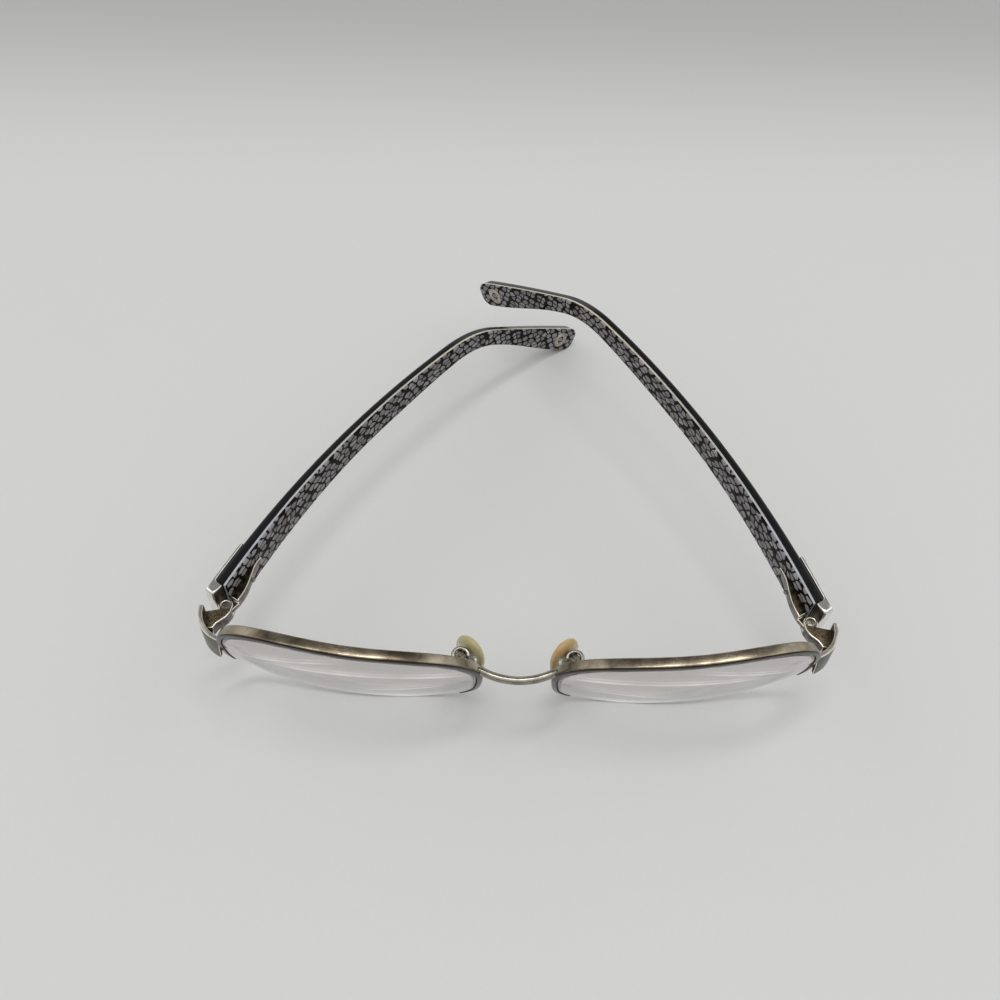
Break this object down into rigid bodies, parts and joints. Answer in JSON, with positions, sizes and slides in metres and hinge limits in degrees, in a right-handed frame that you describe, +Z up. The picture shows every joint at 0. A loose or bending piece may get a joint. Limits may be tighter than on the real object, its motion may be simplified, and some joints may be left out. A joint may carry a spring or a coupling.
{
  "type": "rectangular eyeglasses",
  "caption": "Rectangular half-rim eyeglasses with a slim metal browline, clear lenses on a nylon thread, swivelling nose pads and layered acetate temples on metal hinges, temples part folded.",
  "frame": {"origin": "centre of the bounding box's foot, on the table under the middle of the folded glasses", "axes": "+Z up, +Y from the lenses back along the temples, +X towards the wearer's left"},
  "size_m": [0.1306, 0.1398, 0.0349],
  "materials": {
    "polished_metal": "polished nickel-silver wire",
    "rim_metal": "brownish gunmetal, thin champagne sheen",
    "satin_nickel": "satin nickel",
    "cast_hinge": "dull antique gold with polished edges",
    "screw_steel": "turned steel",
    "core_steel": "drawn steel",
    "bright_plaque": "polished",
    "champagne_ring": "polished champagne",
    "nylon": "translucent nylon",
    "lens": "clear, faint lilac coating",
    "pad_olive": "clear silicone, olive tinted",
    "pad_amber": "clear silicone, amber tinted",
    "black_acetate": "polished black",
    "cream_acetate": "polished cream",
    "patterned_acetate": "near black with grey and taupe cells"
  },
  "bodies": {
    "front": {"bridge": "polished_metal", "right_rim": "rim_metal", "right_rim_liner": "nylon", "right_lens": "lens", "right_lens_thread": "nylon", "right_pad_arm": "polished_metal", "right_pad_box": "polished_metal", "right_pad_screw": "screw_steel", "right_end_piece": "satin_nickel", "right_hinge_leaves": "cast_hinge", "right_hinge_screw": "screw_steel", "left_rim": "rim_metal", "left_rim_liner": "nylon", "left_lens": "lens", "left_lens_thread": "nylon", "left_pad_arm": "polished_metal", "left_pad_box": "polished_metal", "left_pad_screw": "screw_steel", "left_end_piece": "satin_nickel", "left_hinge_leaves": "cast_hinge", "left_hinge_screw": "screw_steel"},
    "right_temple": {"right_hinge_housing": "cast_hinge", "right_temple_outer": "black_acetate", "right_temple_stripe": "cream_acetate", "right_temple_inlay": "patterned_acetate", "right_core_wire": "core_steel", "right_temple_plaque": "bright_plaque", "right_temple_rivets": "screw_steel", "right_tip_ring": "champagne_ring"},
    "left_temple": {"left_hinge_housing": "cast_hinge", "left_temple_outer": "black_acetate", "left_temple_stripe": "cream_acetate", "left_temple_inlay": "patterned_acetate", "left_core_wire": "core_steel", "left_temple_plaque": "bright_plaque", "left_temple_rivets": "screw_steel", "left_tip_ring": "champagne_ring"},
    "right_pad": {"right_pad_insert": "polished_metal", "right_nose_pad": "pad_olive"},
    "left_pad": {"left_pad_insert": "polished_metal", "left_nose_pad": "pad_amber"}
  },
  "joints": [
    {"name": "right_temple_hinge", "type": "hinge", "parent": "front", "child": "right_temple", "pos_m": [-0.0605, -0.05083, 0.0202], "axis": [0, -0.0199, 0.9998], "range_deg": [0, 34.4]},
    {"name": "left_temple_hinge", "type": "hinge", "parent": "front", "child": "left_temple", "pos_m": [0.0605, -0.05083, 0.0202], "axis": [0, 0.1253, -0.9921], "range_deg": [0, 32]},
    {"name": "right_pad_pivot", "type": "hinge", "parent": "front", "child": "right_pad", "pos_m": [-0.01135, -0.06051, 0.01925], "axis": [0.1206, -0.2025, 0.9718], "range_deg": [-8, 8]},
    {"name": "left_pad_pivot", "type": "hinge", "parent": "front", "child": "left_pad", "pos_m": [0.01135, -0.06051, 0.01925], "axis": [-0.1206, -0.2025, 0.9718], "range_deg": [-8, 8]}
  ]
}
